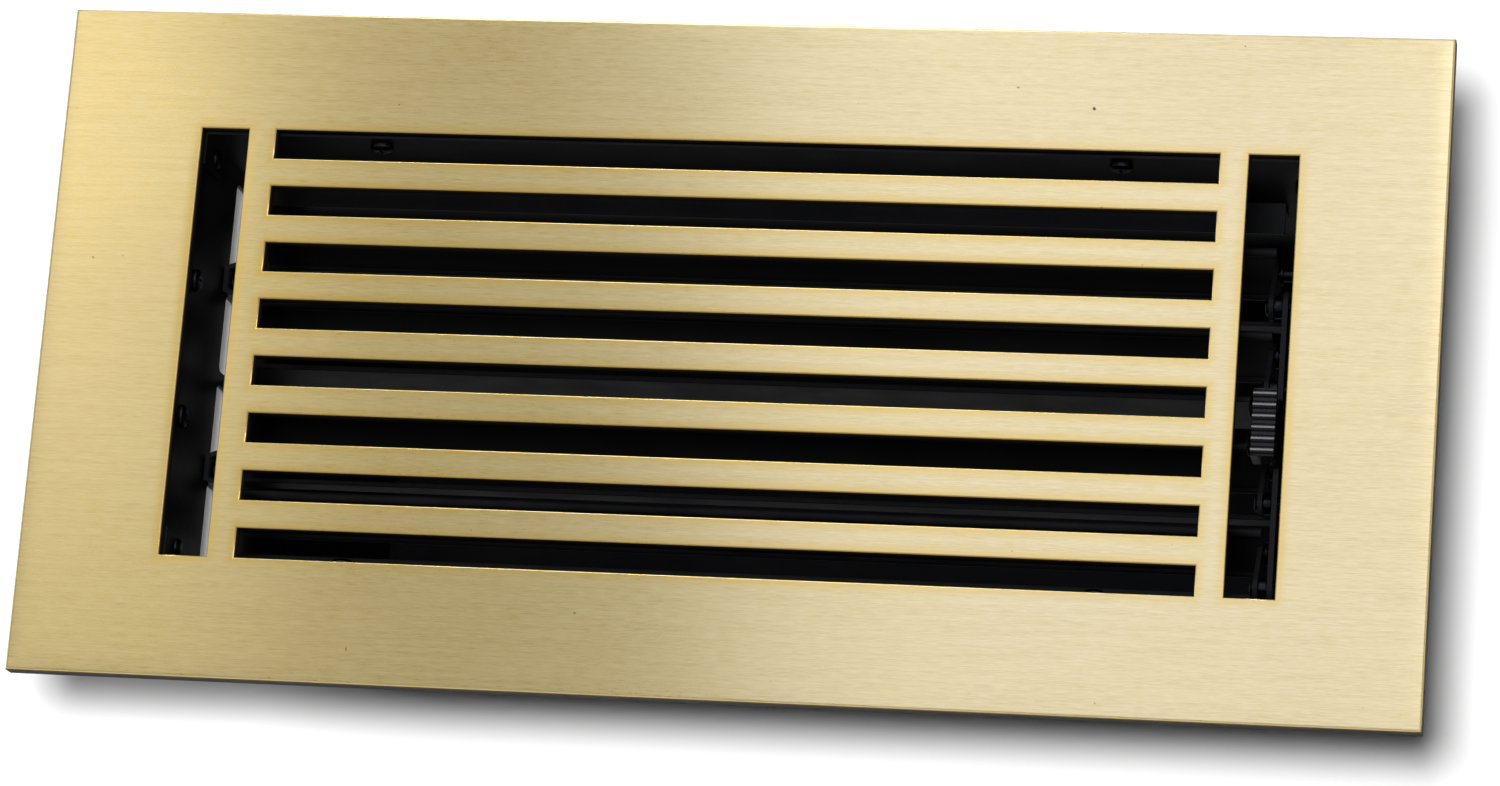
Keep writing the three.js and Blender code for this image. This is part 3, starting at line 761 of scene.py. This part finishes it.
def bush_profile():
    """A flanged bush, closed on its own bore."""
    bore, body, flange = 1.6 * MM, 2.5 * MM, 3.6 * MM
    thickness, end = 0.8 * MM, 2.7 * MM
    return [
        (0.15 * MM, bore),
        (0, bore + 0.15 * MM),
        (0, flange - 0.25 * MM),
        (0.07 * MM, flange - 0.07 * MM),
        (0.25 * MM, flange),
        (thickness, flange),
        (thickness, body),
        (end - 0.25 * MM, body),
        (end, body - 0.25 * MM),
        (end, bore + 0.1 * MM),
        (end - 0.1 * MM, bore),
        (0.15 * MM, bore),
    ]


def pin_profile(length):
    """A pivot pin: tenon, collar, journal and chamfered nose."""
    tenon, collar, journal = 1.2 * MM, 2.4 * MM, 1.5 * MM
    collar_start = 1.2 * MM
    return [
        (0, 0),
        (0, tenon - 0.15 * MM),
        (0.15 * MM, tenon),
        (collar_start, tenon),
        (collar_start, collar - 0.1 * MM),
        (collar_start + 0.1 * MM, collar),
        (collar_start + 0.5 * MM, collar),
        (collar_start + 0.6 * MM, collar - 0.1 * MM),
        (collar_start + 0.6 * MM, journal),
        (length - 0.35 * MM, journal),
        (length - 0.12 * MM, journal - 0.14 * MM),
        (length, journal - 0.4 * MM),
        (length, 0),
    ]


def crank_pin_profile(length):
    """A shouldered rivet through a blade's crank ear and the link bar, domed at both ends."""
    tenon, collar, journal, head = 1.2 * MM, 2.4 * MM, 1.5 * MM, 1.9 * MM
    rise = 0.5 * MM
    middle = [
        (0.6 * MM, head),
        (0.6 * MM, tenon),
        (2.2 * MM, tenon),
        (2.2 * MM, collar),
        (3.6 * MM, collar),
        (3.6 * MM, journal),
        (length - rise, journal),
    ]
    return dome(0, rise, 0, head) + middle + dome(length, -rise, 0, head)[::-1]


for node in SLOT_OF:
    if "rivet" in node:
        replace_turned(node, rivet_profile(length_of(node)))
    elif node.endswith("_screw"):
        screw(node)

for blade in BLADES:
    for side, flip in (("left", True), ("right", False)):
        pin = f"{blade}_{side}_pin"
        replace_turned(f"{blade}_{side}_bush", bush_profile(), flip=flip)
        replace_turned(pin, pin_profile(length_of(pin)), flip=flip)
    crank_pin = f"{blade}_crank_pin"
    replace_turned(crank_pin, crank_pin_profile(length_of(crank_pin)))

# ---------------------------------------------------------------- stage, lights and camera

FLOOR_HALF = 6.0
FLOOR_OPENING_INSET = 0.5 * MM
DUCT_DEPTH = 0.15
SURROUNDINGS = (1.0, 0.967, 0.815, 1)
HORIZON_STRENGTH = 0.95
ZENITH_STRENGTH = 0.38
HORIZON_HEIGHT = 0.5
PANEL_HEIGHT = 0.6
OVERHEAD_TURN = math.radians(5.5)
LEFT_PANEL_TURN = math.radians(12)
CAMERA_LENS = 132.57
CAMERA_PLACE = Vector((0.2221, -0.2706, 1.1060))
CAMERA_TARGET = Vector((0.0063, -0.0076, plate_high.z))
CAMERA_ROLL = math.radians(36.13)


def quad_sheet(name, corners, faces, material):
    """A flat-faced stage piece from its corners and faces."""
    bm = bmesh.new()
    verts = [bm.verts.new(corner) for corner in corners]
    for face in faces:
        bm.faces.new([verts[i] for i in face])
    obj = mesh_object(name, bm)
    obj.data.materials.append(material)


def floor_with_duct():
    """A pale floor at the object's lowest point, open over a duct under the box whose near-black lining is
    painted shade.
    """
    level = cad_bounds[0].z
    half_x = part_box("right_end_wall")[1].x - FLOOR_OPENING_INSET
    half_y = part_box("rear_wall")[1].y - FLOOR_OPENING_INSET
    outer = [(u * FLOOR_HALF, v * FLOOR_HALF, level) for u, v in SQUARE]
    rim = [(u * half_x, v * half_y, level) for u, v in SQUARE]
    foot = [(u * half_x, v * half_y, level - DUCT_DEPTH) for u, v in SQUARE]
    around = [(i, (i + 1) % 4, (i + 1) % 4 + 4, i + 4) for i in range(4)]
    quad_sheet("studio_floor", outer + rim, around, studio_paper())
    # The duct takes the box's near-black inside paint, a painted shade down the duct.
    quad_sheet("duct_shaft", rim + foot, around + [(4, 5, 6, 7)], MATERIALS["black_steel"])


def area_light(name, centre, size, radiance, colour=(1, 1, 1), aim=None, turn=0.0):
    """A rectangular soft box of the given radiance. It faces its aim, or straight down without one."""
    light = bpy.data.lights.new(name, "AREA")
    light.shape = "RECTANGLE"
    light.size, light.size_y = size
    light.energy = radiance * math.pi * size[0] * size[1]
    light.color = colour
    obj = bpy.data.objects.new(name, light)
    bpy.context.scene.collection.objects.link(obj)
    direction = Vector((0, 0, -1)) if aim is None else Vector(aim) - Vector(centre)
    facing = direction.to_track_quat("-Z", "Y").to_matrix().to_4x4()
    obj.matrix_world = Matrix.Translation(centre) @ Matrix.Rotation(turn, 4, "Z") @ facing
    obj.visible_camera = False
    return obj


def studio_world():
    """Pale surroundings that only show as reflections, brighter towards the horizon."""
    world = bpy.data.worlds.new("studio")
    world.use_nodes = True
    tree = world.node_tree
    coordinates = tree.nodes.new("ShaderNodeTexCoord")
    split = tree.nodes.new("ShaderNodeSeparateXYZ")
    fade = tree.nodes.new("ShaderNodeMapRange")
    fade.interpolation_type = "SMOOTHSTEP"
    fade.inputs["From Min"].default_value = 0.0
    fade.inputs["From Max"].default_value = HORIZON_HEIGHT
    fade.inputs["To Min"].default_value = HORIZON_STRENGTH
    fade.inputs["To Max"].default_value = ZENITH_STRENGTH
    background = tree.nodes["Background"]
    background.inputs["Color"].default_value = SURROUNDINGS
    tree.links.new(coordinates.outputs["Generated"], split.inputs["Vector"])
    tree.links.new(split.outputs["Z"], fade.inputs["Value"])
    tree.links.new(fade.outputs["Result"], background.inputs["Strength"])
    world.cycles_visibility.diffuse = False
    bpy.context.scene.world = world


def studio_light():
    """Two kinds of light: one for diffuse surfaces and shadows, one that only shows as reflections."""
    middle = (0, 0, 0)
    below = (0, 0, cad_bounds[0].z - 30 * MM)
    overhead, beside = (0.175, 0.30, PANEL_HEIGHT), (-0.421, 0.52, PANEL_HEIGHT)
    over_right_edge = (0.182, 0.39, PANEL_HEIGHT - 20 * MM)
    warm, cool = (1.0, 0.97, 0.91), (0.95, 1.06, 1.60)
    diffuse_lights = [
        area_light("key", (0.062, -0.115, 1.5), (0.42, 0.42), 80.0, aim=middle),
        area_light("fill", (0, 0, 1.6), (3.0, 3.0), 0.05),
        area_light("left_light", (-1.2, 0.25, 0.75), (0.4, 0.4), 17.0, aim=middle),
    ]
    for light in diffuse_lights:
        light.visible_glossy = False
    reflected_lights = [
        area_light("overhead_panel", overhead, (0.62, 0.95), 0.66, cool, turn=OVERHEAD_TURN),
        area_light("edge_strip", over_right_edge, (0.08, 0.40), 1.5, warm, turn=OVERHEAD_TURN),
        area_light("left_panel", beside, (0.14, 0.85), 1.13, warm, turn=LEFT_PANEL_TURN),
        area_light("back_light", (-0.3, 1.4, 0.55), (0.3, 0.3), 12.0, aim=middle),
        area_light("under_glow", below, (0.23, 0.085), 0.14, aim=middle),
    ]
    for light in reflected_lights:
        light.visible_diffuse = False


def studio_camera():
    """The photograph's view: from high on the front right, rolled over to the left."""
    camera = bpy.data.cameras.new("view")
    camera.lens = CAMERA_LENS
    camera.sensor_width = 36
    camera.clip_start = 0.05
    obj = bpy.data.objects.new("view", camera)
    bpy.context.scene.collection.objects.link(obj)
    facing = (CAMERA_TARGET - CAMERA_PLACE).to_track_quat("-Z", "Y").to_matrix().to_4x4()
    obj.matrix_world = Matrix.Translation(CAMERA_PLACE) @ facing @ Matrix.Rotation(-CAMERA_ROLL, 4, "Z")
    bpy.context.scene.camera = obj


floor_with_duct()
studio_world()
studio_light()
studio_camera()
bpy.context.scene.view_settings.view_transform = "Standard"

# ---------------------------------------------------------------- final update

bpy.context.view_layer.update()
